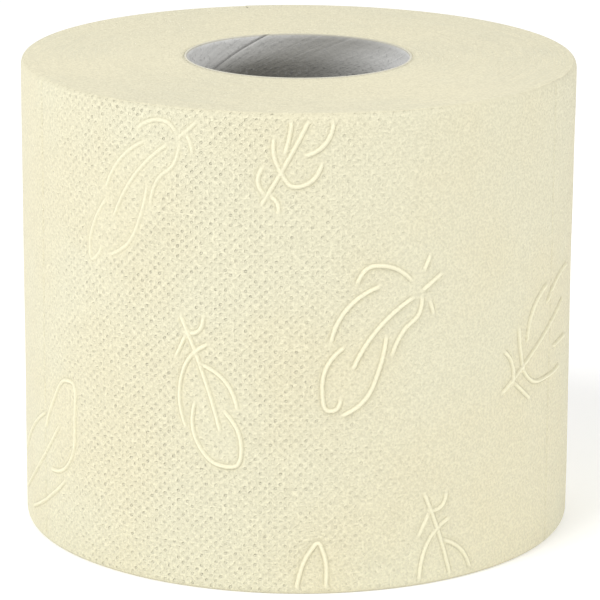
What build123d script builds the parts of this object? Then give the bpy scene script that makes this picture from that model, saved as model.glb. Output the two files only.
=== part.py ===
from build123d import *
import os
from math import ceil, cos, degrees, floor, pi, radians, sin

# Toilet paper roll: one winding of embossed tissue on a spiral-wound card core.
# Lengths are in millimetres and angles in degrees. The roll stands on its end at z = 0 with its bore
# along +Z. Its front faces -Y, and an angle round the roll is counted from there towards +X.

# Driving dimensions
ROLL_DIAMETER = 112.0
ROLL_LENGTH = 95.0
CORE_BORE = 45.0
CORE_WALL = 0.5
WEB_THICKNESS = 0.41
SHEET_LENGTH = 125.0
TAIL_ANGLE = 192.0

# Edge of the winding, which leans in where the roll was sawn off
RIM_HEIGHT = 1.4
RIM_INSET = 0.6

# Spiral line of the turns in both cut ends
TURN_LINE_PITCH = 13.5
TURN_LINE_WIDTH = 0.5
TURN_LINE_DEPTH = 0.3
TURN_LINE_MARGIN = 3.0

# Perforation rows
SLIT_LENGTH = 5.8
SLIT_TIE = 1.3
SLIT_WIDTH = 0.25
SLIT_DEPTH = 0.2

# Seam of the core's inner ply
SEAM_PITCH = 64.0
SEAM_TOP_ANGLE = 196.0
SEAM_WIDTH = 0.8
SEAM_DEPTH = 0.15

# Raised embossing
STROKE_HEIGHT = 0.25
STROKE_WIDTH = 1.1
STROKE_RIM_GAP = 0.4
FEATHER_LENGTH = 35.0
FEATHER_WIDTH = 16.0
EMBOSS_REPEAT = 175.0

# A stroke is straight between two points or an arc through three. Each point is a share of the
# feather's length, from the quill to the tip, and of its width, to the left of the shaft as the tip
# points up.
PLUME = (
    ((0.20, -0.10), (0.46, -0.20), (0.74, -0.10)),
    ((0.00, 0.02), (0.15, -0.06)),
    ((0.18, 0.04), (0.60, 0.26), (0.98, 0.05)),
    ((0.15, -0.22), (0.50, -0.68), (1.00, -0.06)),
)
DOWN = (
    ((0.00, 0.00), (0.40, 0.04), (0.76, 0.00)),
    ((0.12, 0.02), (0.05, 0.30)),
    ((0.32, 0.06), (0.66, 0.34), (0.97, 0.08)),
    ((0.24, 0.02), (0.64, -0.46), (1.00, -0.02)),
)

# One repeat of the embossing: the drawing, where the feather's middle lies along the web and above the
# base, which way its tip points, counted from up towards the left, and its size.
FEATHERS = (
    (DOWN, -65.0, 24.0, -48.0, 1.05),
    (PLUME, -32.0, 78.0, 142.0, 1.1),
    (DOWN, -17.5, 40.0, 200.0, 0.9),
    (DOWN, 1.0, 92.0, -28.0, 0.95),
    (PLUME, 17.5, 49.5, 140.0, 1.0),
    (DOWN, 2.5, -6.0, -5.0, 0.95),
    (DOWN, 31.0, 3.0, 198.0, 0.95),
    (DOWN, 59.0, 44.5, -60.0, 0.95),
)

CORE_OUTER_RADIUS = CORE_BORE / 2 + CORE_WALL
TURN_LENGTH = pi * ROLL_DIAMETER
QUARTER = 90.0
QUARTERS = 4
FULL_TURN = 360.0
CUT_OVERRUN = 1.0


def around(angle):
    """Direction from the axis to an angle round the roll."""
    return Vector(sin(radians(angle)), -cos(radians(angle)), 0)


def spiral_quarters(outer_radius, pitch, count):
    """Centre, radius and far angle of each quarter arc of a spiral that runs inwards from the tail.

    The arcs are tangent to each other: their centres go round a square whose side is a quarter of the pitch.
    """
    side = pitch / QUARTERS
    centre = (around(TAIL_ANGLE) - around(TAIL_ANGLE - QUARTER)) * (side / 2)
    for index in range(count):
        end_angle = TAIL_ANGLE - QUARTER * (index + 1)
        yield centre, outer_radius - side * index, end_angle
        centre += around(end_angle) * side


def turned_quarter(section, centre, end_angle):
    """Turn a section drawn in the XZ plane through the quarter that starts at end_angle."""
    quarter = revolve(Plane.XZ * section, Axis.Z, QUARTER)
    return Pos(centre) * Rot(Z=end_angle - QUARTER) * quarter


def last_turn(section_at):
    """Ring under the last turn of the web. section_at gives its section for a quarter's radius."""
    quarters = spiral_quarters(ROLL_DIAMETER / 2, WEB_THICKNESS, QUARTERS)
    pieces = [turned_quarter(section_at(radius), centre, angle) for centre, radius, angle in quarters]
    return pieces[0].fuse(*pieces[1:])


def winding_section(outer):
    """Half section of the winding, whose outside leans in towards both cut ends."""
    inner = CORE_OUTER_RADIUS - CUT_OVERRUN
    low = [(inner, 0), (outer - RIM_INSET, 0), (outer, RIM_HEIGHT)]
    high = [(radius, ROLL_LENGTH - height) for radius, height in reversed(low)]
    return make_face(Polyline(low + high, close=True))


def relief_section(outer):
    """Half section of the space that raised strokes fill, clear of both leaning edges."""
    inner = CORE_OUTER_RADIUS - CUT_OVERRUN
    low = RIM_HEIGHT + STROKE_RIM_GAP
    size = (outer + STROKE_HEIGHT - inner, ROLL_LENGTH - 2 * low)
    return Pos(inner, low) * Rectangle(*size, align=(Align.MIN, Align.MIN))


def turn_line(face_z, inwards):
    """Spiral groove of triangular section in a cut end; inwards is +1 or -1, the way into the roll."""
    start = ROLL_DIAMETER / 2 - TURN_LINE_MARGIN
    room = start - CORE_OUTER_RADIUS - TURN_LINE_MARGIN
    above = face_z - inwards * TURN_LINE_DEPTH
    below = face_z + inwards * TURN_LINE_DEPTH
    count = floor(QUARTERS * room / TURN_LINE_PITCH)
    grooves = []
    for centre, radius, angle in spiral_quarters(start, TURN_LINE_PITCH, count):
        corners = [(radius - TURN_LINE_WIDTH, above), (radius + TURN_LINE_WIDTH, above), (radius, below)]
        grooves.append(turned_quarter(make_face(Polyline(corners, close=True)), centre, angle))
    return grooves


def perforation_rows():
    """Rows of slits across the last turn, one sheet length apart from the tail edge."""
    pitch = SLIT_LENGTH + SLIT_TIE
    count = floor((ROLL_LENGTH - 2 * RIM_HEIGHT + SLIT_TIE) / pitch)
    first = (ROLL_LENGTH - (count - 1) * pitch) / 2
    slits = []
    for row in range(1, ceil(TURN_LENGTH / SHEET_LENGTH)):
        turned = row * SHEET_LENGTH / TURN_LENGTH
        slit = Box(2 * (SLIT_DEPTH + turned * WEB_THICKNESS), SLIT_WIDTH, SLIT_LENGTH)
        for index in range(count):
            place = Pos(ROLL_DIAMETER / 2, 0, first + index * pitch)
            slits.append(Rot(Z=TAIL_ANGLE - turned * FULL_TURN - QUARTER) * place * slit)
    return slits


def stroke_face(points):
    """Flat outline of one stroke, whose two sides part at its start and meet again at its end."""
    start, end = points[0], points[-1]
    bends = len(points) == 3
    middle = points[1] if bends else (start + end) / 2
    side = ThreePointArc if bends else Polyline
    run = (end - start).normalized()
    swell = Vector(-run.Y, run.X) * (STROKE_WIDTH / 2)
    return make_face([side(start, middle + swell, end), side(end, middle - swell, start)])


def feather_sketch(drawing, scale):
    """All strokes of one feather, with its middle at the origin and its tip up."""
    length = FEATHER_LENGTH * scale
    width = FEATHER_WIDTH * scale
    sketch = Sketch()
    for stroke in drawing:
        sketch += stroke_face([Vector(-across * width, (along - 0.5) * length) for along, across in stroke])
    return sketch


def feather_blocks():
    """Feathers of the last turn as blocks that run from inside the paper out past the embossing."""
    radius = ROLL_DIAMETER / 2
    tail = radians(TAIL_ANGLE) * radius
    block_depth = FEATHER_WIDTH / 2
    repeats = ceil(TURN_LENGTH / EMBOSS_REPEAT)
    blocks = []
    for repeat in range(-repeats, repeats + 1):
        for drawing, along, height, tilt, scale in FEATHERS:
            place = along + repeat * EMBOSS_REPEAT
            reach = FEATHER_LENGTH / 2 * scale * abs(sin(radians(tilt))) + FEATHER_WIDTH / 2
            if not tail - TURN_LENGTH + reach < place < tail - reach:
                continue
            angle = degrees(place / radius)
            outwards = around(angle)
            origin = outwards * (radius - block_depth / 2) + Vector(0, 0, height)
            plane = Plane(origin, x_dir=around(angle + QUARTER), z_dir=outwards)
            flat = Rot(Z=tilt) * feather_sketch(drawing, scale)
            blocks += extrude(plane * flat, block_depth).solids()
    return blocks


def tissue_roll():
    """The wound tissue as one solid."""
    skin = last_turn(relief_section)
    relief = [block & skin for block in feather_blocks()]
    body = last_turn(winding_section).fuse(*[stroke for stroke in relief if stroke])
    bore = Pos(0, 0, ROLL_LENGTH / 2) * Cylinder(CORE_OUTER_RADIUS, ROLL_LENGTH + 2 * CUT_OVERRUN)
    return body.cut(bore, *turn_line(ROLL_LENGTH, -1), *turn_line(0, 1), *perforation_rows())


def core_tube():
    """The card core, with the helical seam of its inner ply cut into the bore."""
    ring = Circle(CORE_OUTER_RADIUS) - Circle(CORE_BORE / 2)
    tube = extrude(ring, ROLL_LENGTH)
    overrun = 2 * SEAM_WIDTH
    helix = Edge.make_helix(SEAM_PITCH, ROLL_LENGTH + 2 * overrun, CORE_BORE / 2, lefthand=True)
    start_angle = SEAM_TOP_ANGLE - QUARTER + (ROLL_LENGTH + overrun) / SEAM_PITCH * FULL_TURN
    path = Rot(Z=start_angle) * Pos(0, 0, -overrun) * helix
    start = path @ 0
    plane = Plane(start, x_dir=Vector(start.X, start.Y, 0), z_dir=path % 0)
    corners = [(SEAM_DEPTH, 0), (-SEAM_DEPTH, SEAM_WIDTH), (-SEAM_DEPTH, -SEAM_WIDTH)]
    seam = sweep(plane * make_face(Polyline(corners, close=True)), path, is_frenet=True)
    return tube - seam


def main():
    os.makedirs("parts", exist_ok=True)
    export_step(tissue_roll(), "parts/tissue_roll.step")
    export_step(core_tube(), "parts/core_tube.step")


main()
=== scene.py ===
"""A roll of embossed tissue on its card core, on a pale floor under soft light.

The tissue is drawn flat, as the last turn of the web with both cut ends folded out, and a node tree winds it
onto the roll. The core's board is drawn flat and wound in the same way. Lengths are in metres, unless a name
or a comment says otherwise. Angles round the roll are counted from its front, which faces -Y, towards +X.
"""

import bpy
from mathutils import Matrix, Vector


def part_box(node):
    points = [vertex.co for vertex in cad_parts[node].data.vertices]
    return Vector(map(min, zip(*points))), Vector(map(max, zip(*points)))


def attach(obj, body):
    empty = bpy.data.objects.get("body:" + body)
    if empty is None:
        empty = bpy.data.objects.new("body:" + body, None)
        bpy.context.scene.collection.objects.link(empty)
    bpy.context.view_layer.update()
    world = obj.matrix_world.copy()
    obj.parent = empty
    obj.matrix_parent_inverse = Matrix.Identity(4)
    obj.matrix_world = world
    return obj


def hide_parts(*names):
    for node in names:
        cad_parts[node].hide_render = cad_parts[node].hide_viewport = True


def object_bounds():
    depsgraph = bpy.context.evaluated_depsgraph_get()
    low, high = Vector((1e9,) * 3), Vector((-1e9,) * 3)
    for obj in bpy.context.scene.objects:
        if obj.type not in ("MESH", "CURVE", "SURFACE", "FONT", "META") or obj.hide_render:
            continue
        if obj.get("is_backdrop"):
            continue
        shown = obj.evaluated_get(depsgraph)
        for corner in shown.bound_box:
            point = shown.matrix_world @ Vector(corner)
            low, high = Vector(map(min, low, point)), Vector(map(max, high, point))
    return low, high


bl_info = {
    "name": "Toilet paper roll",
    "version": (1, 0, 0),
    "blender": (4, 5, 0),
    "location": "3D View > Sidebar > Roll",
    "description": "Winds a roll of embossed tissue on its card core and sets it on a pale floor",
    "category": "Object",
}

from functools import partial
from math import ceil, floor, pi, radians, tau

import bpy
import numpy as np
from bpy.props import FloatProperty, FloatVectorProperty, PointerProperty
from mathutils import Matrix, Vector
from mathutils.geometry import delaunay_2d_cdt
from mathutils.kdtree import KDTree

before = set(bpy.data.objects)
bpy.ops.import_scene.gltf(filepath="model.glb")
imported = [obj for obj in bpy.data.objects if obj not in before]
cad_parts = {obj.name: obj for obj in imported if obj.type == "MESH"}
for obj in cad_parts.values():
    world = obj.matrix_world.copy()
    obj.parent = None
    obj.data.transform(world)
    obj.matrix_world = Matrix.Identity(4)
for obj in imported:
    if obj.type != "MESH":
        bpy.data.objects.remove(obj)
cad_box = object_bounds()

MM = 0.001

# The smooth spiral has the roll's full radius this share of a turn from the tail, half of a quarter
TAIL_LEAD = 0.125

# In a cut end, counted from the rim: where the spiral's step has faded out, where the uneven bands of turns
# have faded in, and how wide such a band is
SPARE_FADE = 3 * MM
BAND_FADE = 2 * MM
BAND_WIDTH = 3 * MM

# From the wall's deepest slump to its highest bulge, and how many of them there are in a radius's length
SLUMP = 0.5 * MM
SLUMP_GRAIN = 1.6

# The dots are pressed by two waves, and this share of them runs along the diagonal that half joins the dots
DOTS_JOINED = 0.64

# The share of their depth that dots keep in the vane of a feather
VANE_DOTS = 0.75

# Where the press was slack, in degrees from its slack side, and how wide each such place is
SLACK_PLACES = ((0, 35), (-130, 32))

# From the middle of a perforation cut to the start and end of its side, and how near the tail there is none,
# in turns
SLIT_SIDES = (0.1 * MM, 0.3 * MM)
CLEAR_OF_TAIL = (0.01, 0.02)

# From the middle of the core's seam to the start and end of its side, as shares of the seam's width
SEAM_SIDES = (0.15, 0.5)

# Points closer than this are joined once a mesh is wound
POINTS_MEET = 0.001 * MM

# Mesh of the flat web: rows round a rim, the most between rows in a cut end, and the least room between the
# dots' grid and the rims and tail, as a share of half a dot pitch
RIM_ROWS = 7
END_ROW_STEP = 1.15 * MM
GRID_GAP = 0.3

# Grains in a metre: clouds of dye, the strength from dot to dot, loose fibres, and specks in the board
CLOUDS = 35.0
DOT_BY_DOT = 420.0
FIBRES = 2100.0
SPECKS = 1300.0

# Grains of fray in a cut end: so many in a radius's length round the roll, and in this span across the turns
FRAYS = 5.0
FRAY_SPAN = 1.1 * MM

# Each lamp is a square of this side, this far from the middle of the roll
LAMP_SIDE = 0.8
LAMP_DISTANCE = 1.6

# From the middle of the floor to its edges
FLOOR_HALF = 4.0

# Sizes that each winding tree takes straight from the properties of the same name
WEB_SIZES = (
    "Diameter", "Length", "Web", "Tail", "Sheet", "Rim height", "Rim inset", "Dot pitch", "Dot depth",
    "Slit length", "Slit tie", "Slit depth", "Band depth",
)
BOARD_SIZES = ("Bore", "Seam pitch", "Seam top", "Seam width", "Seam depth")

# One feather of the embossing is a few strokes, each a smooth line through its points. A point is a share of
# the feather's length, from the quill to the tip, and of its width, to the left of the shaft as the tip
# points up.
PLUME = (
    ((0.00, 0.02), (0.15, -0.06)),
    ((0.16, 0.10), (0.21, 0.26)),
    ((-0.04, -0.26), (0.06, -0.20)),
    ((0.20, -0.10), (0.46, -0.22), (0.72, -0.14)),
    ((0.14, -0.24), (0.16, -0.62), (0.23, -0.80), (0.34, -0.78)),
    ((0.27, -0.54), (0.46, -0.68), (0.68, -0.56)),
    ((0.65, -0.40), (0.79, -0.41), (0.92, -0.24), (0.98, -0.04), (0.96, 0.01), (0.88, -0.03)),
    ((0.17, -0.02), (0.26, 0.09), (0.37, 0.06), (0.53, 0.14)),
    ((0.46, -0.08), (0.62, 0.11), (0.82, 0.22), (0.96, 0.12)),
)
DOWN = (
    ((0.00, 0.00), (0.40, 0.04), (0.76, 0.00)),
    ((0.11, -0.02), (0.13, 0.16), (0.05, 0.31)),
    ((0.13, -0.02), (0.24, -0.26)),
    ((0.22, 0.25), (0.26, -0.04), (0.46, -0.38), (0.68, -0.45)),
    ((0.33, 0.06), (0.42, 0.25), (0.66, 0.33)),
    ((0.54, -0.20), (0.74, -0.37), (0.95, -0.20), (0.99, 0.06), (0.86, 0.22), (0.64, 0.14)),
)
REED = (
    ((0.00, 0.05), (0.14, 0.00)),
    ((0.12, -0.05), (0.11, -0.20), (0.17, -0.36), (0.26, -0.43)),
    ((0.09, 0.04), (0.11, 0.15), (0.15, 0.23)),
    ((0.20, -0.05), (0.43, -0.14), (0.72, -0.06)),
    ((0.28, -0.28), (0.45, -0.39), (0.64, -0.34)),
    ((0.69, -0.26), (0.84, -0.23), (0.96, -0.13), (1.01, 0.00), (0.97, 0.03), (0.90, 0.01)),
    ((0.16, 0.06), (0.26, 0.14), (0.36, 0.10), (0.51, 0.21)),
    ((0.44, 0.04), (0.58, 0.18), (0.76, 0.26), (0.90, 0.15)),
)
BLADE = (
    ((-0.06, -0.26), (0.30, -0.35), (0.72, -0.27)),
    (
        (0.56, -0.12), (0.76, 0.03), (0.95, 0.07), (1.00, -0.02),
        (0.88, -0.38), (0.74, -0.66), (0.60, -0.72), (0.46, -0.56),
    ),
    ((0.08, 0.11), (0.34, 0.12), (0.60, 0.03)),
    ((0.04, -0.62), (0.28, -0.78), (0.56, -0.84)),
)
SLIP = (
    ((0.00, 0.02), (0.64, 0.00)),
    ((0.12, 0.04), (0.06, 0.24)),
    ((0.14, -0.04), (0.08, -0.24)),
    ((0.40, 0.20), (0.72, 0.19), (0.93, 0.08), (1.00, -0.03), (0.93, -0.12), (0.72, -0.19), (0.40, -0.22)),
)
FAN = (
    ((0.00, -0.04), (0.44, -0.02), (0.86, -0.08)),
    ((0.10, -0.08), (0.16, 0.16), (0.14, 0.44)),
    ((0.12, -0.08), (0.16, -0.30), (0.20, -0.52)),
    ((0.32, 0.52), (0.26, 0.20), (0.23, -0.08), (0.28, -0.38), (0.42, -0.60), (0.62, -0.80)),
    ((0.34, 0.20), (0.46, 0.46), (0.70, 0.52)),
    ((0.64, 0.29), (0.84, 0.34), (1.04, 0.16)),
    ((0.58, -0.38), (0.80, -0.62)),
)
TUFT = (
    ((0.00, 0.00), (0.40, -0.02), (0.80, 0.02)),
    ((0.06, 0.02), (0.10, 0.16), (0.20, 0.21)),
    ((0.07, -0.03), (0.06, -0.14), (0.00, -0.24)),
    ((0.38, 0.26), (0.29, 0.16), (0.22, -0.02), (0.18, -0.22), (0.24, -0.38), (0.38, -0.41)),
    ((0.32, 0.05), (0.42, 0.10), (0.56, 0.22)),
    ((0.37, -0.18), (0.47, -0.32), (0.64, -0.27)),
    ((0.66, 0.30), (0.88, 0.22), (1.00, 0.02), (0.88, -0.20)),
)

# One repeat of the embossing: the drawing, where the feather's middle lies along the web and above the
# base in millimetres, which way its tip points in degrees, counted from up towards the left, its size, and
# how firmly it was pressed.
FEATHERS = (
    (BLADE, -65.0, 24.0, -48.0, 1.05, 0.8),
    (REED, -32.0, 78.0, 142.0, 1.1, 0.6),
    (DOWN, -17.5, 40.0, 200.0, 0.9, 0.9),
    (TUFT, 1.0, 92.0, -28.0, 0.95, 0.8),
    (PLUME, 17.5, 49.5, 140.0, 1.0, 0.92),
    (SLIP, 2.5, -6.0, -5.0, 0.95, 0.92),
    (DOWN, 31.0, 3.0, 198.0, 0.95, 0.9),
    (FAN, 59.0, 44.5, -60.0, 0.95, 1.1),
)


def length_of(text, millimetres, about):
    """A length property with its default in millimetres."""
    size = millimetres * MM
    return FloatProperty(name=text, description=about, default=size, subtype="DISTANCE", unit="LENGTH")


def number_of(text, number, about):
    """A property that is a plain number, 0 or more."""
    return FloatProperty(name=text, description=about, default=number, min=0)


def angle_of(text, degrees, about):
    """An angle property with its default in degrees."""
    angle = radians(degrees)
    return FloatProperty(name=text, description=about, default=angle, subtype="ANGLE", unit="ROTATION")


def colour_of(text, colour, about):
    """A colour property, in linear light."""
    kind = {"size": 3, "subtype": "COLOR", "min": 0, "max": 1}
    return FloatVectorProperty(name=text, description=about, default=colour, **kind)


class ROLL_PG_tissue(bpy.types.PropertyGroup):
    """Sizes and colour of the wound tissue."""

    diameter: length_of("Diameter", 112.0, "Across the roll at the end of its web")
    length: length_of("Length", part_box("tissue_roll")[1].z / MM, "Width of the web")
    core: length_of("Core", 2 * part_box("core_tube")[1].x / MM, "Across the core, on which the web starts")
    web: length_of("Web", 0.41, "Thickness of one turn")
    sheet: length_of("Sheet", 125.0, "From one perforation row to the next")
    tail: angle_of("Tail", 192.0, "Where the web ends")
    rim_height: length_of("Rim height", 1.3, "How far from a cut end the wall starts to lean in")
    rim_inset: length_of("Rim inset", 0.8, "How far the wall has leaned in at a cut end")
    feather_length: length_of("Feather length", 35.0, "From quill to tip")
    feather_width: length_of("Feather width", 16.0, "Across the vane")
    repeat: length_of("Repeat", 175.0, "Along the web, from one set of feathers to the next")
    stroke_width: length_of("Stroke width", 0.84, "Across one raised stroke")
    stroke_height: length_of("Stroke height", 0.36, "How far the strokes stand up")
    dot_pitch: length_of("Dot pitch", 1.95, "From dot to dot along a row of pressed dots")
    slack_share: number_of("Slack share", 0.88, "How much shallower the dots are where the press was slack")
    slack_side: angle_of("Slack side", 45.0, "Where the press was slack, and again 130 degrees to the left")
    dot_depth: length_of("Dot depth", 0.03, "How deep the dots are pressed")
    slit_length: length_of("Slit length", 5.8, "One cut of a perforation row")
    slit_tie: length_of("Slit tie", 1.3, "Paper left between two cuts")
    slit_depth: length_of("Slit depth", 0.2, "How deep a cut opens")
    band_depth: length_of("Band depth", 0.14, "How unevenly the turns lie in a cut end")
    colour: colour_of("Colour", (0.8, 0.765, 0.57), "Dyed tissue")


class ROLL_PG_core(bpy.types.PropertyGroup):
    """Sizes and colour of the card core."""

    bore: length_of("Bore", 45.0, "Across the inside")
    wall: length_of("Wall", 0.5, "Thickness of the board")
    seam_pitch: length_of("Seam pitch", 64.0, "Along the core, from one turn of the ply's seam to the next")
    seam_top: angle_of("Seam top", 196.0, "Where the seam comes out at the upper end")
    seam_width: length_of("Seam width", 0.8, "Across the gap between the ply's edges")
    seam_depth: length_of("Seam depth", 0.15, "Down to the next ply")
    colour: colour_of("Colour", (0.9, 0.9, 0.885), "Recycled board")
    # Colour of the painted shade in the band beside the seam
    band_shade_tint: colour_of("Band shade", (0.27, 0.258, 0.222), "Where the next ply's glue came through")
    # Colour of the painted shade deep inside the core
    deep_shade: colour_of("Deep shade", (0.165, 0.16, 0.14), "Deep inside the core")
    cut: colour_of("Cut", (0.62, 0.59, 0.46), "Cut edge of the board")


class ROLL_PG_stage(bpy.types.PropertyGroup):
    """Camera, floor and lights."""

    distance: length_of("Camera distance", 702.6, "In front of the roll's axis")
    height: length_of("Camera height", 235.3, "Above the floor")
    pitch: angle_of("Camera pitch", 15.243, "Downwards")
    yaw: angle_of("Camera yaw", 0.054, "To the right")
    roll: angle_of("Camera roll", 0.354, "About its line of sight")
    lens: FloatProperty(
        name="Focal length", description="On a 36 mm wide sensor", default=212.87, unit="CAMERA"
    )
    floor: colour_of("Floor", (0.9, 0.9, 0.9), "Pale floor")
    key: number_of("Key light", 13.3, "Strength of the high light at the left")
    fill: number_of("Fill light", 6.0, "Strength of the light at the right")
    back: number_of("Back light", 3.4, "Strength of the light behind")
    sky: number_of("Room light", 0.52, "Strength of the light from all round")


def calc(tree, operation, *values, clamp=False):
    """Add a Math node and give its result. A value is a number or another node's output."""
    node = tree.nodes.new("ShaderNodeMath")
    node.operation = operation
    node.use_clamp = clamp
    for socket, value in zip(node.inputs, values):
        put(tree, socket, value)
    return node.outputs[0]


def put(tree, socket, value):
    """Set a socket to a number, colour or text, or link an output to it."""
    if isinstance(value, bpy.types.NodeSocket):
        tree.links.new(value, socket)
    else:
        socket.default_value = value


def maths(tree):
    """Two ways to add a Math node to a tree: for any operation, and for a product."""
    return partial(calc, tree), partial(calc, tree, "MULTIPLY")


def fed(tree, kind, inputs):
    """Add a node and put a value into each named input."""
    node = tree.nodes.new(kind)
    for name, value in inputs.items():
        put(tree, node.inputs[name], value)
    return node


def ramp(tree, value, low, high):
    """How far value has come from low to high, from 0 to 1, with a soft start and end."""
    node = fed(tree, "ShaderNodeMapRange", {"Value": value, "From Min": low, "From Max": high})
    node.interpolation_type = "SMOOTHSTEP"
    return node.outputs["Result"]


def blend(tree, share, none, full):
    """A value that is none where share is 0 and full where it is 1."""
    node = fed(tree, "ShaderNodeMapRange", {"Value": share, "To Min": none, "To Max": full})
    return node.outputs["Result"]


def join_xyz(tree, x, y, z):
    """A vector from three values."""
    node = tree.nodes.new("ShaderNodeCombineXYZ")
    for socket, value in zip(node.inputs, (x, y, z)):
        put(tree, socket, value)
    return node.outputs[0]


def split_xyz(tree, vector):
    """The three values of a vector."""
    node = tree.nodes.new("ShaderNodeSeparateXYZ")
    put(tree, node.inputs[0], vector)
    return tuple(node.outputs)


def grain(tree, vector, scale, detail=2.0, roughness=0.5):
    """Noise from 0 to 1 over a vector."""
    inputs = {"Vector": vector, "Scale": scale, "Detail": detail, "Roughness": roughness}
    return fed(tree, "ShaderNodeTexNoise", inputs).outputs[0]


def dot_wave(tree, along, up, pitch):
    """A wave that is 1 in each dot and -1 between the staggered rows.

    It is stronger along one diagonal than along the other, so the dots are half joined that way.
    """
    do, times = maths(tree)
    across, upward = (times(do("DIVIDE", way, pitch), tau) for way in (along, up))
    joined = times(do("COSINE", do("SUBTRACT", across, upward)), DOTS_JOINED)
    parted = times(do("COSINE", do("ADD", across, upward)), 1 - DOTS_JOINED)
    return do("ADD", joined, parted)


def round_roll(tree, angle, out, height):
    """The place at an angle round the roll, a way out from its axis, and a height."""
    do, times = maths(tree)
    x, y = times(do("SINE", angle), out), times(do("COSINE", angle), times(out, -1))
    return join_xyz(tree, x, y, height)


def geometry_tree(name, sizes):
    """A node tree with a flat mesh, a material and the named sizes as its inputs."""
    tree = bpy.data.node_groups.new(name, "GeometryNodeTree")
    tree.interface.new_socket("Flat", in_out="INPUT", socket_type="NodeSocketGeometry")
    tree.interface.new_socket("Material", in_out="INPUT", socket_type="NodeSocketMaterial")
    for size in sizes:
        tree.interface.new_socket(size, in_out="INPUT", socket_type="NodeSocketFloat")
    tree.interface.new_socket("Wound", in_out="OUTPUT", socket_type="NodeSocketGeometry")
    return tree, tree.nodes.new("NodeGroupInput").outputs


def finish_tree(tree, given, position):
    """Move the flat mesh to its wound place, close it where points meet, and give it its material."""
    nodes = [
        fed(tree, "GeometryNodeSetPosition", {"Geometry": given["Flat"], "Position": position}),
        fed(tree, "GeometryNodeMergeByDistance", {"Distance": POINTS_MEET}),
        fed(tree, "GeometryNodeRealizeInstances", {}),
        fed(tree, "GeometryNodeSetMaterial", {"Material": given["Material"]}),
        tree.nodes.new("NodeGroupOutput"),
    ]
    for before, after in zip(nodes, nodes[1:]):
        tree.links.new(before.outputs[0], after.inputs[0])


def wind_web_tree():
    """Wind the flat last turn of the web, with its cut ends folded out, onto the roll.

    The flat web lies in XY, along the web in X and up the roll in Y, and its raised strokes are its Z.
    """
    tree, given = geometry_tree("wind_web", (*WEB_SIZES, "Rim run"))
    do, times = maths(tree)

    place = tree.nodes.new("GeometryNodeInputPosition").outputs[0]
    pressed = fed(tree, "GeometryNodeInputNamedAttribute", {"Name": "dots"}).outputs["Attribute"]
    along, up, stroke = split_xyz(tree, place)

    # The spiral, and the web's way from the wall round the rim and across the cut end
    radius = do("DIVIDE", given["Diameter"], 2)
    angle = do("DIVIDE", along, radius)
    turned = do("DIVIDE", do("SUBTRACT", given["Tail"], angle), tau)
    spare = times(given["Web"], do("SUBTRACT", TAIL_LEAD, turned))
    middle = do("DIVIDE", given["Length"], 2)
    from_middle = do("SUBTRACT", up, middle)
    to_middle = do("ABSOLUTE", from_middle)
    wall_half = do("SUBTRACT", middle, given["Rim height"])
    past_wall = do("SUBTRACT", to_middle, wall_half)
    lean = times(do("DIVIDE", past_wall, given["Rim run"], clamp=True), pi / 2)
    in_end = do("MAXIMUM", do("SUBTRACT", past_wall, given["Rim run"]), 0)
    outwards, endwards = do("COSINE", lean), do("SINE", lean)
    inset = do("ADD", times(given["Rim inset"], do("SUBTRACT", 1, outwards)), in_end)
    wound_spare = times(spare, do("SUBTRACT", 1, ramp(tree, in_end, 0, SPARE_FADE)))
    out = do("ADD", do("SUBTRACT", radius, inset), wound_spare)
    reach = do("ADD", do("MINIMUM", to_middle, wall_half), times(given["Rim height"], endwards))

    # Pressed dots and perforation rows
    wave = dot_wave(tree, along, up, given["Dot pitch"])
    dots = times(times(wave, given["Dot depth"]), pressed)
    from_tail = do("SUBTRACT", times(given["Tail"], radius), along)
    to_row = do("PINGPONG", from_tail, do("DIVIDE", given["Sheet"], 2))
    on_row = do("SUBTRACT", 1, ramp(tree, to_row, *SLIT_SIDES))
    off_tail = ramp(tree, turned, *CLEAR_OF_TAIL)
    pitch = do("ADD", given["Slit length"], given["Slit tie"])
    cut = do("LESS_THAN", do("MODULO", up, pitch), given["Slit length"])
    slits = times(times(on_row, off_tail), times(cut, given["Slit depth"]))

    # The wall's slump, and the uneven bands of turns in a cut end
    sine, cosine = do("SINE", angle), do("COSINE", angle)
    soft = grain(tree, join_xyz(tree, sine, cosine, do("DIVIDE", up, radius)), SLUMP_GRAIN, detail=1.0)
    slump = times(do("SUBTRACT", soft, 0.5), SLUMP)
    wall_relief = do("SUBTRACT", do("ADD", stroke, slump), do("ADD", dots, slits))
    round_way = [times(side, 0.5) for side in (sine, cosine)]
    rings = grain(tree, join_xyz(tree, *round_way, do("DIVIDE", out, BAND_WIDTH)), 1.0)
    bands = times(times(rings, given["Band depth"]), ramp(tree, in_end, 0, BAND_FADE))

    proud_out = do("ADD", out, times(wall_relief, outwards))
    end_height = do("SUBTRACT", reach, bands)
    height = do("ADD", middle, times(do("SIGN", from_middle), end_height))
    finish_tree(tree, given, round_roll(tree, angle, proud_out, height))
    return tree


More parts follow.
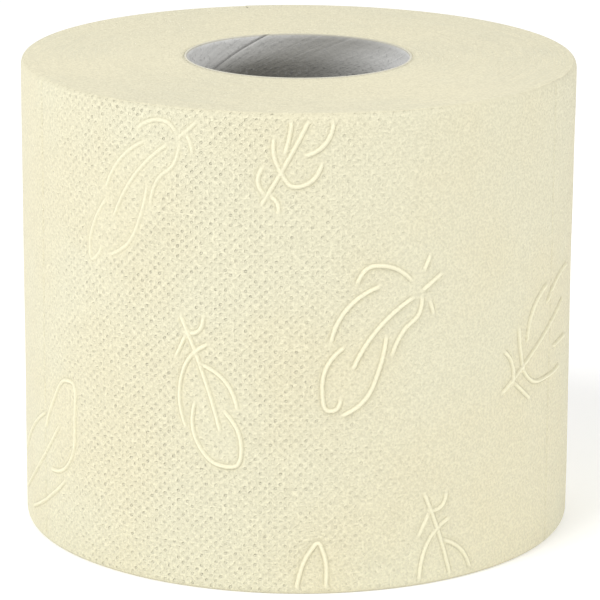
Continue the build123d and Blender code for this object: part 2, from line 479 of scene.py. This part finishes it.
def wind_board_tree():
    """Wind the flat board of the core, with the helical seam of its inner ply.

    The flat board lies in XY: across X the share of a turn from the seam, up Y the height, and its Z is how
    far into the board a point lies.
    """
    tree, given = geometry_tree("wind_board", (*BOARD_SIZES, "Length"))
    do, times = maths(tree)

    share, up, depth = split_xyz(tree, tree.nodes.new("GeometryNodeInputPosition").outputs[0])
    bore = do("DIVIDE", given["Bore"], 2)
    drop = do("DIVIDE", do("SUBTRACT", given["Length"], up), given["Seam pitch"])
    angle = do("ADD", given["Seam top"], times(do("ADD", drop, share), tau))
    climb = do("ARCTANGENT", do("DIVIDE", given["Seam pitch"], times(bore, tau)))
    from_seam = times(do("PINGPONG", share, 0.5), tau)
    aside = times(from_seam, times(bore, do("SINE", climb)))
    sides = [times(given["Seam width"], part) for part in SEAM_SIDES]
    open_to = do("SUBTRACT", 1, ramp(tree, aside, *sides))
    inside = do("LESS_THAN", depth, 0.01 * MM)
    gap = times(times(open_to, inside), given["Seam depth"])
    out = do("ADD", do("ADD", bore, depth), gap)
    finish_tree(tree, given, round_roll(tree, angle, out, up))
    return tree


def named_sizes(group, names):
    """The sizes of a property group, by the names that a node tree has for them."""
    return {name: getattr(group, name.lower().replace(" ", "_")) for name in names}


def wound(name, flat, tree, material, sizes):
    """Run a flat mesh through its winding tree and keep the result as a plain mesh."""
    made = bpy.data.objects.new(name, flat)
    bpy.context.scene.collection.objects.link(made)
    modifier = made.modifiers.new("wind", "NODES")
    modifier.node_group = tree
    for item in tree.interface.items_tree:
        if item.name == "Material":
            modifier[item.identifier] = material
        elif item.name in sizes:
            modifier[item.identifier] = sizes[item.name]
    ready = made.evaluated_get(bpy.context.evaluated_depsgraph_get())
    mesh = bpy.data.meshes.new_from_object(ready)
    made.modifiers.clear()
    made.data = mesh
    mesh.name = name
    bpy.data.meshes.remove(flat)
    return made


def curve_points(points, step):
    """Points about a step apart on a smooth line through the given ones."""
    runs = np.concatenate([[0], np.cumsum(np.linalg.norm(np.diff(points, axis=0), axis=1))])
    slopes = np.gradient(points, runs, axis=0, edge_order=min(2, len(points) - 1))
    at = np.linspace(0, runs[-1], ceil(runs[-1] / step) + 1)
    span = np.clip(np.searchsorted(runs, at, side="right") - 1, 0, len(points) - 2)
    gap = np.diff(runs)[span]
    share = ((at - runs[span]) / gap)[:, None]
    rest = 1 - share
    gap = gap[:, None]
    from_start = (1 + 2 * share) * rest**2 * points[span] + share * rest**2 * gap * slopes[span]
    from_end = (1 + 2 * rest) * share**2 * points[span + 1] - rest * share**2 * gap * slopes[span + 1]
    return from_start + from_end


class Feather:
    """One feather of the last turn, laid out along and up the flat web."""

    # The vane is an oval: its middle, up the shaft and to the right of it, and its half size, as shares of
    # the feather's length and width
    VANE_MIDDLE = (0.1, 0.08)
    VANE_HALF = 0.38

    def __init__(self, sizes, drawing, along, height, tilt, scale, press):
        self.radius = sizes.diameter / 2
        self.press = press
        self.middle = np.array([along, height])
        self.tilt = radians(tilt)
        self.length = sizes.feather_length * scale
        self.width = sizes.feather_width * scale
        self.drawing = drawing

    def strokes(self, step):
        """Each stroke as points a step apart."""
        sine, cosine = np.sin(self.tilt), np.cos(self.tilt)
        turn = np.array([[cosine, sine], [-sine, cosine]])
        for stroke in self.drawing:
            drawn = [(-across * self.width, (share - 0.5) * self.length) for share, across in stroke]
            flat = curve_points(np.array(drawn), step) @ turn
            flat[:, 0] = self.radius * np.arcsin(flat[:, 0] / self.radius)
            yield flat + self.middle

    def covers(self, points):
        """True for points within the vane."""
        away = points - self.middle
        tip = np.array([-np.sin(self.tilt), np.cos(self.tilt)])
        side = np.array([tip[1], -tip[0]])
        up = away @ tip - self.VANE_MIDDLE[0] * self.length
        across = away @ side - self.VANE_MIDDLE[1] * self.width
        return (up / (self.VANE_HALF * self.length)) ** 2 + (across / (self.VANE_HALF * self.width)) ** 2 < 1


def feathers_of(sizes):
    """The feathers that the last turn holds clear of its tail."""
    radius = sizes.diameter / 2
    tail = sizes.tail * radius
    turn = pi * sizes.diameter
    repeats = ceil(turn / sizes.repeat)
    for repeat in range(-repeats, repeats + 1):
        for drawing, along, height, tilt, scale, press in FEATHERS:
            place = along * MM + repeat * sizes.repeat
            reach = sizes.feather_length / 2 * scale * abs(np.sin(radians(tilt))) + sizes.feather_width / 2
            if tail - turn + reach < place < tail - reach:
                yield Feather(sizes, drawing, place, height * MM, tilt, scale, press)


class Relief:
    """Height of the raised strokes over the flat web."""

    SAMPLE = 0.15 * MM
    RIM_GAP = 0.3 * MM

    # A stroke starts at this share of its height and reaches all of it over this length
    END_HEIGHT = 0.2
    END_FADE = 0.8 * MM

    # Across a stroke, in shares of its half width: its flat back, each steep side, and the moat beside it,
    # whose depth is a share of the stroke's height
    BACK = 0.35
    SIDE = 0.6
    MOAT_PLACE = 1.2
    MOAT_WIDTH = 0.25
    MOAT_DEPTH = 0.2

    def __init__(self, sizes, feathers):
        self.sizes = sizes
        self.low = sizes.rim_height + self.RIM_GAP
        self.high = sizes.length - self.low
        samples, strengths = [], []
        for feather in feathers:
            for stroke in feather.strokes(self.SAMPLE):
                run = np.linalg.norm(np.diff(stroke, axis=0), axis=1).sum()
                along = np.linspace(0, run, len(stroke))
                to_end = np.minimum(along, run - along)
                strength = feather.press * np.minimum(to_end / self.END_FADE + self.END_HEIGHT, 1)
                inside = (stroke[:, 1] > self.low) & (stroke[:, 1] < self.high)
                samples.append(stroke[inside])
                strengths.append(strength[inside])
        self.samples = np.vstack(samples)
        self.strengths = np.concatenate(strengths)
        self.tree = KDTree(len(self.samples))
        for index, (x, y) in enumerate(self.samples):
            self.tree.insert((x, y, 0), index)
        self.tree.balance()

    def nearest(self, points):
        """How far each point lies from a stroke, and that stroke's strength there."""
        found = [self.tree.find((x, y, 0)) for x, y in points]
        return np.array([f[2] for f in found]), self.strengths[[f[1] for f in found]]

    def height(self, away, strength):
        """A ridge with a flat back and steep sides, and a shallow moat beside them."""
        half = self.sizes.stroke_width / 2
        fall = np.clip((away / half - self.BACK) / self.SIDE, 0, 1)
        ridge = 1 - fall * fall * (3 - 2 * fall)
        moat = np.exp(-(((away - self.MOAT_PLACE * half) / (self.MOAT_WIDTH * half)) ** 2))
        return self.sizes.stroke_height * strength * (ridge - self.MOAT_DEPTH * moat)


def end_run(sizes):
    """Along the flat web: the run round a rim, and across a cut end to the core."""
    longer_than_circle = 1.03
    rim = pi / 4 * (sizes.rim_height + sizes.rim_inset) * longer_than_circle
    return rim, sizes.diameter / 2 - sizes.rim_inset - sizes.core / 2


def web_rows(sizes):
    """Heights of the flat web's rows of points, from the core's foot round the wall to the core's top."""
    rim, across = end_run(sizes)
    half_pitch = sizes.dot_pitch / 2
    middle = sizes.length / 2
    wall_half = middle - sizes.rim_height
    lattice = np.arange(1, floor(sizes.length / half_pitch) + 1) * half_pitch
    wall = lattice[abs(lattice - middle) < wall_half - GRID_GAP * half_pitch]
    round_rim = wall_half + np.linspace(0, rim, RIM_ROWS)
    over_end = wall_half + rim + np.linspace(0, across, ceil(across / END_ROW_STEP) + 1)[1:]
    upper = np.concatenate([round_rim, over_end])
    return np.concatenate([middle - upper[::-1], wall, middle + upper])


def web_columns(sizes):
    """Places along the flat web of its columns of points, closer together at the perforation rows."""
    half_pitch = sizes.dot_pitch / 2
    tail = sizes.tail * sizes.diameter / 2
    start = tail - pi * sizes.diameter
    first, last = ceil(start / half_pitch + GRID_GAP), floor(tail / half_pitch - GRID_GAP)
    lattice = np.arange(first, last + 1) * half_pitch
    rows = tail - sizes.sheet * np.arange(1, ceil((tail - start) / sizes.sheet))
    clear_of_row = 0.45 * MM
    for row in rows:
        lattice = lattice[abs(lattice - row) > clear_of_row]
    beside_row = np.array([-0.32, -0.1, 0.1, 0.32]) * MM
    beside = (rows[:, None] + beside_row).ravel()
    return np.sort(np.concatenate([[start], lattice, beside, [tail]]))


def ragged(sizes, up):
    """How far the torn tail edge runs past its place at a height: a nub at each tie, on a slow wave."""
    nub_length, wave_height = 0.3 * MM, 0.12 * MM
    nub_width = 0.6 * sizes.slit_tie
    pitch = sizes.slit_length + sizes.slit_tie
    nub = np.exp(-(((up % pitch - sizes.slit_length - sizes.slit_tie / 2) / nub_width) ** 2))
    return nub_length * nub + wave_height * np.sin(up / (2.3 * MM)) * np.cos(up / (5.1 * MM))


def stroke_mesh_points(sizes, relief, feathers):
    """Points in rows along each stroke, thinned where strokes meet."""
    half = sizes.stroke_width / 2
    step, closest = 0.62 * MM, 0.13 * MM
    offsets = np.array([-1.6, -1.2, -0.92, -0.64, -0.36, 0, 0.36, 0.64, 0.92, 1.2, 1.6]) * half
    rows = []
    for feather in feathers:
        for stroke in feather.strokes(step):
            run = np.gradient(stroke, axis=0)
            run /= np.linalg.norm(run, axis=1)[:, None]
            normal = np.column_stack([-run[:, 1], run[:, 0]])
            for offset in offsets:
                rows.append(stroke + offset * normal)
            for end, sign in ((0, -1), (-1, 1)):
                beyond = stroke[end] + sign * run[end] * half
                aside = normal[end] * half * 0.6
                rows.append(np.array([beyond, beyond + aside, beyond - aside]))
    points = np.vstack(rows)
    points = points[(points[:, 1] > relief.low) & (points[:, 1] < relief.high)]
    _, kept = np.unique(np.round(points / closest).astype(int), axis=0, return_index=True)
    return points[np.sort(kept)]


def dot_strengths(sizes, feathers, points, away):
    """How firmly the dots are pressed at each point: less in vanes, in slack places and beside strokes."""
    bare, fade = 0.6 * sizes.stroke_width, 0.5 * sizes.stroke_width
    dots = np.clip((away - bare) / fade, 0, 1)
    for feather in feathers:
        dots[feather.covers(points)] *= VANE_DOTS
    for place, width in SLACK_PLACES:
        centre = sizes.slack_side + radians(place)
        aside = (points[:, 0] * 2 / sizes.diameter - centre + pi) % tau - pi
        dots *= 1 - sizes.slack_share * np.exp(-((aside / radians(width)) ** 2))
    return dots


def flat_web(sizes):
    """The last turn of the web laid out flat, as a mesh: a grid on the dots, finer along the strokes."""
    feathers = list(feathers_of(sizes))
    relief = Relief(sizes, feathers)
    columns, rows = web_columns(sizes), web_rows(sizes)
    wide, tall = len(columns), len(rows)
    grid = np.stack(np.meshgrid(columns, rows), axis=-1).reshape(-1, 2)
    away, _ = relief.nearest(grid)
    stroke_room = 0.95 * sizes.stroke_width
    crowded = (away < stroke_room).reshape(tall, wide)
    crowded[:, [0, -1]] = False
    open_cell = crowded[:-1, :-1] | crowded[1:, :-1] | crowded[:-1, 1:] | crowded[1:, 1:]
    index = np.arange(wide * tall).reshape(tall, wide)

    corners = [index[:-1, :-1], index[:-1, 1:], index[1:, 1:], index[1:, :-1]]
    a, b, c, d = (corner[~open_cell] for corner in corners)
    first, second = np.column_stack([a, b, c]), np.column_stack([a, c, d])

    fine = stroke_mesh_points(sizes, relief, feathers)
    inner, edges = open_patch(index, crowded, open_cell)
    nodes = np.vstack([grid[inner], fine])
    triangles, nodes, origin = triangulated(nodes, edges)
    middles = nodes[triangles].mean(axis=1)
    column_at = np.clip(np.searchsorted(columns, middles[:, 0]) - 1, 0, wide - 2)
    row_at = np.clip(np.searchsorted(rows, middles[:, 1]) - 1, 0, tall - 2)
    triangles = triangles[open_cell[row_at, column_at]]

    new_index = np.where(origin < len(inner), inner[np.minimum(origin, len(inner) - 1)], -1)
    added = new_index < 0
    new_index[added] = wide * tall + np.arange(added.sum())
    points = np.vstack([grid, nodes[added]])
    edge_shift = ragged(sizes, rows)
    points[index[:, 0], 0] += edge_shift
    points[index[:, -1], 0] += edge_shift

    faces = np.vstack([first, second, new_index[triangles]])
    step = np.column_stack([index[:-1, 0], index[1:, 0], index[1:, -1], index[:-1, -1]])
    bore = np.column_stack([index[0, :-1], index[-1, :-1], index[-1, 1:], index[0, 1:]])
    away, strength = relief.nearest(points)
    heights = relief.height(away, strength)
    dots = dot_strengths(sizes, feathers, points, away)
    attributes = {"dots": dots, "stroke": heights / sizes.stroke_height}
    mesh = flat_mesh("flat_web", points, heights, faces, np.vstack([step, bore]), attributes, sizes.length)
    mesh.polygons.foreach_set("use_smooth", np.arange(len(mesh.polygons)) < len(faces))
    return mesh


def open_patch(index, crowded, open_cell):
    """Grid points kept round the strokes, and the grid edges between cells kept and cells to fill."""
    kept = {}
    edges = []
    cells = np.pad(open_cell, 1)
    use = cells[:-1, :-1] | cells[1:, :-1] | cells[:-1, 1:] | cells[1:, 1:]
    inner = index[use & ~crowded]
    for place, vertex in enumerate(inner):
        kept[vertex] = place
    level = cells[:-1, 1:-1] != cells[1:, 1:-1]
    for start, end in zip(index[:, :-1][level], index[:, 1:][level]):
        edges.append((kept[start], kept[end]))
    upright = cells[1:-1, :-1] != cells[1:-1, 1:]
    for start, end in zip(index[:-1, :][upright], index[1:, :][upright]):
        edges.append((kept[start], kept[end]))
    return inner, edges


def triangulated(nodes, edges):
    """Triangles over the nodes, whichever edges they must keep, with each node's first source."""
    all_triangles, closest = 0, 1e-5
    found = delaunay_2d_cdt([Vector(node) for node in nodes / MM], edges, [], all_triangles, closest)
    places, _, triangles, sources = found[:4]
    places = np.array([tuple(place) for place in places]) * MM
    origin = np.array([source[0] if source else len(nodes) for source in sources])
    return np.array(triangles), places, origin


def flat_mesh(name, points, heights, triangles, quads, attributes, unit):
    """A mesh from points in the plane, their heights, and its faces, with a UV map in units of a length."""
    mesh = bpy.data.meshes.new(name)
    vertices = np.column_stack([points, heights])
    mesh.from_pydata(vertices.tolist(), [], triangles.tolist() + quads.tolist())
    uv = mesh.uv_layers.new(name="flat")
    loops = np.empty(len(mesh.loops), int)
    mesh.loops.foreach_get("vertex_index", loops)
    uv.data.foreach_set("uv", (points[loops] / unit).ravel())
    for label, values in attributes.items():
        mesh.attributes.new(label, "FLOAT", "POINT").data.foreach_set("value", values)
    mesh.shade_smooth()
    return mesh


def shader_tree(name, roughness, shine):
    """A new material, its node tree and its shader."""
    material = bpy.data.materials.new(name)
    material.use_nodes = True
    tree = material.node_tree
    shader = tree.nodes["Principled BSDF"]
    shader.inputs["Roughness"].default_value = roughness
    shader.inputs["Specular IOR Level"].default_value = shine
    return material, tree, shader


def bumped(tree, height, distance, before=None):
    """A normal that follows a height, on top of another normal."""
    inputs = {"Distance": distance, "Height": height}
    if before is not None:
        inputs["Normal"] = before
    return fed(tree, "ShaderNodeBump", inputs).outputs["Normal"]


def mixed(tree, share, first, second):
    """A colour between two."""
    node = tree.nodes.new("ShaderNodeMix")
    node.data_type = "RGBA"
    put(tree, node.inputs["Factor"], share)
    # Sockets A, B and Result come once for each data type, so the colour's are found by number
    put(tree, node.inputs[6], first)
    put(tree, node.inputs[7], second)
    return node.outputs[2]


def layered(tree, colour, *layers):
    """A colour with others laid over it, each by its own share."""
    for share, over in layers:
        colour = mixed(tree, share, colour, over)
    return colour


def flat_map(tree):
    """Across and up the flat web or board, from its UV map."""
    uv = tree.nodes.new("ShaderNodeUVMap")
    uv.uv_map = "flat"
    return split_xyz(tree, uv.outputs[0])[:2]


def painted(tree, name):
    """The value of a mesh attribute."""
    node = tree.nodes.new("ShaderNodeAttribute")
    node.attribute_name = name
    return node.outputs["Fac"]


def stretched(tree, across, up, grains_across, grains_up):
    """A place on a flat mesh, for noise with so many grains to a unit across and up."""
    _, times = maths(tree)
    return join_xyz(tree, times(across, grains_across), times(up, grains_up), 0.0)


def shade(colour, factor):
    """A colour, lighter or darker, as four numbers."""
    return (*(min(1.0, channel * factor) for channel in colour), 1.0)


def tissue_material(sizes):
    """Soft dyed tissue: dots pressed in the wall, the turns' edges in the cut ends, and loose fibres, with
    painted shade in the dots, beside the strokes and over the cut ends, and painted highlights on the
    strokes and fibres.
    """
    material, tree, shader = shader_tree("tissue", roughness=0.95, shine=0.15)
    do, times = maths(tree)
    dye = sizes.colour
    warm = (dye[0], 0.98 * dye[1], 0.95 * dye[2])

    place = tree.nodes.new("ShaderNodeTexCoord").outputs["Object"]
    x, y, _ = split_xyz(tree, place)
    u, v = flat_map(tree)
    along, up = times(u, sizes.length), times(v, sizes.length)
    pressed, stroke = painted(tree, "dots"), painted(tree, "stroke")

    # Where the wall stops and the cut end starts
    wall_half = sizes.length / 2 - sizes.rim_height
    past = do("SUBTRACT", do("ABSOLUTE", do("SUBTRACT", up, sizes.length / 2)), wall_half)
    on_wall = do("SUBTRACT", 1, ramp(tree, past, 0.6 * MM, 1.6 * MM))
    cut_end = ramp(tree, past, 0.3 * MM, 1.6 * MM)

    # Dots, dye and fibres
    wave = dot_wave(tree, along, up, sizes.dot_pitch)
    pit = times(ramp(tree, wave, 0.42, 1.0), times(pressed, on_wall))
    pit = times(pit, blend(tree, grain(tree, place, DOT_BY_DOT, detail=1.0), 0.82, 1.2))
    cloud = ramp(tree, grain(tree, place, CLOUDS, detail=3.0), 0.35, 0.7)
    fibres = grain(tree, place, FIBRES, detail=1.0)
    speck, glint = ramp(tree, fibres, 0.3, 0.7), ramp(tree, fibres, 0.56, 0.74)

    # Edges of the turns, and how they fray
    out = do("SQRT", do("ADD", times(x, x), times(y, y)))
    angle = do("ARCTAN2", x, times(y, -1))
    turn = do("ADD", do("DIVIDE", out, sizes.web), do("DIVIDE", angle, tau))
    line = times(do("SINE", times(turn, tau)), 0.5)
    turns = times(do("ADD", line, 0.5), cut_end)
    round_way = [do("DIVIDE", side, out) for side in (x, y)]
    fray = grain(tree, join_xyz(tree, *round_way, do("DIVIDE", out, FRAY_SPAN)), FRAYS, detail=4.0)

    normal = None
    for height, depth in (
        (do("SUBTRACT", 1, pit), 0.17 * MM),
        (turns, 0.02 * MM),
        (times(fray, cut_end), 0.12 * MM),
        (times(fibres, do("ADD", 0.6, times(pressed, 0.6))), 0.28 * MM),
    ):
        normal = bumped(tree, height, depth, normal)

    dark = mixed(tree, cloud, shade(dye, 0.93), shade(warm, 0.93))
    light = mixed(tree, cloud, shade(dye, 1.06), shade(warm, 1.06))
    wall = layered(
        tree,
        mixed(tree, speck, dark, light),
        # Painted glints on the fibres where the dots are pressed
        (times(glint, times(pressed, 0.5)), shade(dye, 1.2)),
        # Painted shade in the pressed dots
        (times(pit, 0.2), shade(dye, 0.72)),
        # Painted highlight on the raised strokes
        (times(stroke, 1.0, clamp=True), shade(dye, 1.2)),
        # Painted shade in the moat at the foot of the strokes
        (times(stroke, -4.0, clamp=True), shade(warm, 0.78)),
    )
    # The cut ends, mottled and frayed, are a shade darker than the wall overall: painted shade between the
    # turns
    ends = layered(
        tree,
        mixed(tree, cloud, shade(dye, 0.92), shade(warm, 1.0)),
        (ramp(tree, fray, 0.4, 0.65), shade(warm, 1.02)),
        (times(speck, 0.6), shade(warm, 0.8)),
    )
    put(tree, shader.inputs["Base Color"], mixed(tree, cut_end, wall, ends))
    tree.links.new(normal, shader.inputs["Normal"])
    shader.inputs["Sheen Weight"].default_value = 0.15
    shader.inputs["Sheen Roughness"].default_value = 0.6
    return material


def board_material(sizes, length):
    """Grey recycled board, streaked, with painted shade deeper inside and in a band beside the seam, and a
    gap at its ply's seam.
    """
    material, tree, shader = shader_tree("core_board", roughness=0.75, shine=0.35)
    do, times = maths(tree)
    grey = sizes.colour

    place = tree.nodes.new("ShaderNodeTexCoord").outputs["Object"]
    u, v = flat_map(tree)
    streak = grain(tree, stretched(tree, u, v, 90.0, 60.0), 1.0, detail=4.0, roughness=0.6)
    wrinkles = grain(tree, stretched(tree, u, v, 190.0, 2600.0), 1.0, detail=2.0)
    speck = grain(tree, place, SPECKS, detail=2.0)

    # How far round the board from its seam, which is at 0 and 1, and how far in from its cut edges
    from_seam = do("PINGPONG", u, 0.5)
    seam = do("SUBTRACT", 1, ramp(tree, from_seam, 0.001, 0.0028))
    inner = do("MINIMUM", v, do("SUBTRACT", length, v))
    far_from_ends = ramp(tree, inner, 3 * MM, 9 * MM)
    cut_edge = do("SUBTRACT", 1, ramp(tree, inner, 0.15 * MM, 0.4 * MM))

    # Painted shade in a band on both sides of the seam, more of it on the far side
    near_side = times(do("SUBTRACT", 1, ramp(tree, u, 0.0, 0.09)), 0.5)
    seam_band = do("ADD", ramp(tree, u, 0.68, 0.88), near_side)
    seam_band = times(seam_band, blend(tree, ramp(tree, from_seam, 0.0, 0.1), 0.55, 1.0))
    seam_band = times(seam_band, ramp(tree, streak, 0.1, 0.45))
    # Painted shade deep inside the core, varied by the streaks and strongest in the band beside the seam
    deep_shade = times(far_from_ends, blend(tree, ramp(tree, streak, 0.35, 0.65), 0.95, 0.76))
    deep_shade = times(deep_shade, blend(tree, seam_band, 0.64, 1.0))
    folds = times(ramp(tree, wrinkles, 0.52, 0.68), times(far_from_ends, 0.8))

    board = layered(
        tree,
        mixed(tree, ramp(tree, streak, 0.3, 0.75), shade(grey, 0.97), shade(grey, 1.1)),
        # Painted shade in the band beside the seam, a little stronger deeper in
        (times(seam_band, do("ADD", 0.72, times(far_from_ends, 0.2))), shade(sizes.band_shade_tint, 1.0)),
        (deep_shade, shade(sizes.deep_shade, 1.0)),
        (times(ramp(tree, speck, 0.55, 0.75), 0.5), shade(grey, 0.45)),
        (folds, shade(grey, 0.14)),
        (times(seam, do("SUBTRACT", 0.6, times(far_from_ends, 0.35))), shade(grey, 0.25)),
        (times(cut_edge, 0.8), shade(sizes.cut, 1.0)),
    )
    normal = bumped(tree, streak, 0.1 * MM)
    normal = bumped(tree, speck, 0.12 * MM, normal)
    put(tree, shader.inputs["Base Color"], board)
    tree.links.new(normal, shader.inputs["Normal"])
    return material


def floor_material(colour):
    """Matte pale floor with the faintest cloudiness, lit a little from below."""
    material, tree, shader = shader_tree("pale_floor", roughness=1.0, shine=0.0)
    place = tree.nodes.new("ShaderNodeTexCoord").outputs["Object"]
    cloud = grain(tree, place, 3.0, detail=1.0)
    put(tree, shader.inputs["Base Color"], mixed(tree, cloud, shade(colour, 0.99), shade(colour, 1.0)))
    shader.inputs["Emission Color"].default_value = (1, 1, 1, 1)
    shader.inputs["Emission Strength"].default_value = 0.2
    return material


class ROLL_OT_wind_tissue(bpy.types.Operator):
    """Wind the embossed tissue onto the core"""

    bl_idname = "roll.wind_tissue"
    bl_label = "Wind the tissue"

    def execute(self, context):
        sizes = context.scene.roll_tissue
        values = {**named_sizes(sizes, WEB_SIZES), "Rim run": end_run(sizes)[0]}
        material = tissue_material(sizes)
        roll = wound("wound_tissue", flat_web(sizes), wind_web_tree(), material, values)
        if not roll.data.polygons:
            raise RuntimeError("the web came out empty")
        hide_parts("tissue_roll")
        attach(roll, "root")
        return {"FINISHED"}


def flat_board(sizes, length):
    """The core's board laid out flat: up its inside, over the upper end, down its outside and back.

    Across it, a point's place is a share of a turn from the seam, and points lie closer beside the seam.
    """
    near_seam = np.array([0.001, 0.002, 0.0035, 0.005, 0.008])
    steps_round, rows_up, seam_room = 120, 97, 0.01
    between = np.linspace(0, 1, steps_round + 1)
    between = between[(between > seam_room) & (between < 1 - seam_room)]
    shares = np.concatenate([[0], near_seam, between, 1 - near_seam[::-1]])
    corner = 0.12 * MM
    up = np.linspace(corner, length - corner, rows_up)
    inside = [(height, 0.0) for height in up]
    outside = [(height, sizes.wall) for height in up[::-1]]
    top = [(length, corner), (length, sizes.wall - corner)]
    foot = [(0.0, sizes.wall - corner), (0.0, corner)]
    loop = np.array(inside + top + outside + foot)
    wide, tall = len(shares), len(loop)
    points = np.array([(share, height) for height, _ in loop for share in shares])
    depths = np.repeat(loop[:, 1], wide)
    index = np.arange(wide * tall).reshape(tall, wide)
    beside = np.roll(index, -1, axis=1)
    above, across = np.roll(index, -1, axis=0), np.roll(beside, -1, axis=0)
    quads = np.stack([index, above, across, beside], axis=-1).reshape(-1, 4)
    mesh = flat_mesh("flat_board", points, depths, np.empty((0, 3), int), quads, {}, 1.0)
    close_last_column(mesh)
    return mesh


def close_last_column(mesh):
    """Let the UV map of the last column end at one whole turn."""
    uv = mesh.uv_layers["flat"].data
    for polygon in mesh.polygons:
        shares = [uv[loop].uv.x for loop in polygon.loop_indices]
        if max(shares) - min(shares) > 0.5:
            for loop in polygon.loop_indices:
                if uv[loop].uv.x < 0.5:
                    uv[loop].uv.x += 1.0


class ROLL_OT_make_core(bpy.types.Operator):
    """Wind the card core"""

    bl_idname = "roll.make_core"
    bl_label = "Make the core"

    def execute(self, context):
        sizes = context.scene.roll_core
        length = context.scene.roll_tissue.length
        values = {**named_sizes(sizes, BOARD_SIZES), "Length": length}
        material = board_material(sizes, length)
        core = wound("wound_core", flat_board(sizes, length), wind_board_tree(), material, values)
        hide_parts("core_tube")
        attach(core, "root")
        return {"FINISHED"}


def area_light(name, strength, angle, height, target, colour=(1, 1, 1)):
    """A square lamp that faces a target, at an angle round the roll and above the horizon in degrees."""
    light = bpy.data.lights.new(name, "AREA")
    light.energy = strength
    light.color = colour
    light.size = LAMP_SIDE
    made = bpy.data.objects.new(name, light)
    angle, height = radians(angle), radians(height)
    away = Vector((np.sin(angle) * np.cos(height), -np.cos(angle) * np.cos(height), np.sin(height)))
    made.location = Vector(target) + LAMP_DISTANCE * away
    made.rotation_euler = away.to_track_quat("Z", "Y").to_euler()
    bpy.context.scene.collection.objects.link(made)


class ROLL_OT_set_stage(bpy.types.Operator):
    """Lay the floor, hang the lights and place the camera"""

    bl_idname = "roll.set_stage"
    bl_label = "Set the stage"

    def execute(self, context):
        scene = context.scene
        stage = scene.roll_stage
        corners = [(x * FLOOR_HALF, y * FLOOR_HALF, 0) for x, y in ((-1, -1), (1, -1), (1, 1), (-1, 1))]
        mesh = bpy.data.meshes.new("floor")
        mesh.from_pydata(corners, [], [(0, 1, 2, 3)])
        mesh.materials.append(floor_material(stage.floor))
        ground = bpy.data.objects.new("floor", mesh)
        scene.collection.objects.link(ground)
        ground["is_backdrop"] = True

        middle = (0, 0, scene.roll_tissue.length / 2)
        area_light("key", stage.key, -46, 50, middle)
        area_light("fill", stage.fill, 72, 40, middle, colour=(1, 0.985, 0.96))
        area_light("back", stage.back, 180, 60, middle)

        world = bpy.data.worlds.new("room")
        world.use_nodes = True
        background = world.node_tree.nodes["Background"]
        background.inputs["Color"].default_value = (1, 1, 1, 1)
        background.inputs["Strength"].default_value = stage.sky
        scene.world = world
        scene.view_settings.view_transform = "Standard"

        camera = bpy.data.cameras.new("camera")
        camera.lens = stage.lens
        camera.sensor_width = 36
        seen = bpy.data.objects.new("camera", camera)
        place = Matrix.Translation((0, -stage.distance, stage.height))
        turn = Matrix.Rotation(-stage.yaw, 4, "Z") @ Matrix.Rotation(pi / 2 - stage.pitch, 4, "X")
        seen.matrix_world = place @ turn @ Matrix.Rotation(stage.roll, 4, "Z")
        scene.collection.objects.link(seen)
        scene.camera = seen
        return {"FINISHED"}


class ROLL_PT_sizes(bpy.types.Panel):
    """Sizes of the roll, and the steps that build it."""

    bl_label = "Toilet paper roll"
    bl_idname = "ROLL_PT_sizes"
    bl_space_type = "VIEW_3D"
    bl_region_type = "UI"
    bl_category = "Roll"

    def draw(self, context):
        for group, operator in (
            ("roll_tissue", ROLL_OT_wind_tissue),
            ("roll_core", ROLL_OT_make_core),
            ("roll_stage", ROLL_OT_set_stage),
        ):
            box = self.layout.box()
            values = getattr(context.scene, group)
            for name in values.bl_rna.properties.keys():
                if name not in {"rna_type", "name"}:
                    box.prop(values, name)
            box.operator(operator.bl_idname)


CLASSES = (
    ROLL_PG_tissue,
    ROLL_PG_core,
    ROLL_PG_stage,
    ROLL_OT_wind_tissue,
    ROLL_OT_make_core,
    ROLL_OT_set_stage,
    ROLL_PT_sizes,
)


def register():
    for each in CLASSES:
        bpy.utils.register_class(each)
    bpy.types.Scene.roll_tissue = PointerProperty(type=ROLL_PG_tissue)
    bpy.types.Scene.roll_core = PointerProperty(type=ROLL_PG_core)
    bpy.types.Scene.roll_stage = PointerProperty(type=ROLL_PG_stage)


def unregister():
    del bpy.types.Scene.roll_tissue
    del bpy.types.Scene.roll_core
    del bpy.types.Scene.roll_stage
    for each in reversed(CLASSES):
        bpy.utils.unregister_class(each)


def main():
    register()
    bpy.ops.roll.wind_tissue()
    bpy.ops.roll.make_core()
    bpy.ops.roll.set_stage()
    boxes = {"cad": cad_box, "visual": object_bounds()}
    {name: [list(corner) for corner in box] for name, box in boxes.items()}


if __name__ == "__main__":
    main()
